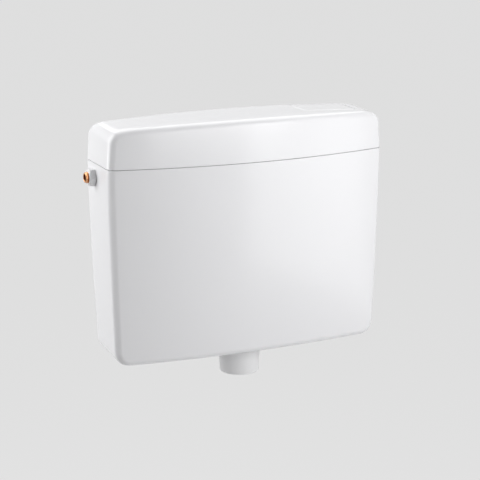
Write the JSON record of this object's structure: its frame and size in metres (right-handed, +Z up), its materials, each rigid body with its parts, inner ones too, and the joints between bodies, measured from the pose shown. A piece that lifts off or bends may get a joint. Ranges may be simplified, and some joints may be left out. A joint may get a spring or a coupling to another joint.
{
  "type": "toilet cistern",
  "caption": "Wall-hung toilet cistern: bowed plastic tank with a lift-off lid, a push plate in the lid, a lever-lifted flush valve and a side-fed float valve.",
  "frame": {"origin": "midway between the two wall-fixing holes, on the wall plane behind the tank", "axes": "+X along the wall to the right as seen from the front, +Y into the wall, +Z up; the front faces -Y"},
  "size_m": [0.4581, 0.124, 0.402],
  "materials": {
    "white_abs": "moulded, high gloss",
    "nut_white": "moulded, satin",
    "foam": "expanded foam with visible beads",
    "ivory_plastic": "moulded, satin",
    "grey_plastic": "moulded, satin",
    "blue_plastic": "moulded, satin",
    "rubber": "matt",
    "brass": "turned",
    "steel": "drawn"
  },
  "bodies": {
    "tank": {"tank": "white_abs", "insulating_liner": "foam", "lever_bridge": "grey_plastic", "lever_pin": "steel", "valve_cage": "grey_plastic", "outlet_body": "ivory_plastic", "outlet_gasket": "rubber", "outlet_locknut": "ivory_plastic", "flush_pipe_seal": "rubber", "flush_pipe_nut": "nut_white", "inlet_stub": "brass", "inlet_nut": "nut_white", "inlet_gasket": "rubber", "inlet_strainer": "blue_plastic", "fill_valve_body": "ivory_plastic", "fill_valve_cap": "grey_plastic", "valve_diaphragm": "rubber", "float_arm_pin": "steel", "fill_tube": "ivory_plastic", "blanking_plug": "nut_white", "plug_gasket": "rubber", "plug_nut": "nut_white"},
    "lid": {"lid": "white_abs", "plate_pin": "steel", "plate_spring": "steel"},
    "flush_plate": {"flush_plate": "white_abs"},
    "lift_lever": {"lift_lever": "ivory_plastic"},
    "flush_valve": {"overflow_tube": "ivory_plastic", "valve_seal": "rubber", "valve_float": "blue_plastic", "lift_bail": "blue_plastic"},
    "float_arm": {"float_arm": "grey_plastic", "float_rod": "blue_plastic", "float": "ivory_plastic"},
    "valve_plunger": {"valve_plunger": "steel"}
  },
  "joints": [
    {"name": "lid_lift", "type": "slide", "parent": "tank", "child": "lid", "axis": [0, 0, 1], "range_m": [0, 0.12]},
    {"name": "plate_press", "type": "hinge", "parent": "lid", "child": "flush_plate", "pos_m": [0.178, -0.048, 0.08542], "axis": [0, -1, 0], "range_deg": [0, 10], "stiffness_Nm_per_rad": 0.4, "springref_deg": -8.59, "deforming": ["plate_spring"]},
    {"name": "lever_tilt", "type": "hinge", "parent": "tank", "child": "lift_lever", "pos_m": [0.088, -0.054, 0.05925], "axis": [0, 1, 0], "range_deg": [0, 11.5]},
    {"name": "valve_lift", "type": "slide", "parent": "tank", "child": "flush_valve", "axis": [0, 0, 1], "range_m": [0, 0.0181]},
    {"name": "float_swing", "type": "hinge", "parent": "tank", "child": "float_arm", "pos_m": [-0.139, -0.027, 0.001], "axis": [0, -1, 0], "range_deg": [0, 20]},
    {"name": "plunger_slide", "type": "slide", "parent": "tank", "child": "valve_plunger", "axis": [-1, 0, 0], "range_m": [0, 0.00421]}
  ],
  "couplings": [
    {"joint": "lever_tilt", "follows": "plate_press", "ratio": 1.15},
    {"joint": "valve_lift", "follows": "plate_press", "m_per_rad": 0.1034},
    {"joint": "plunger_slide", "follows": "float_swing", "m_per_rad": 0.01205}
  ]
}
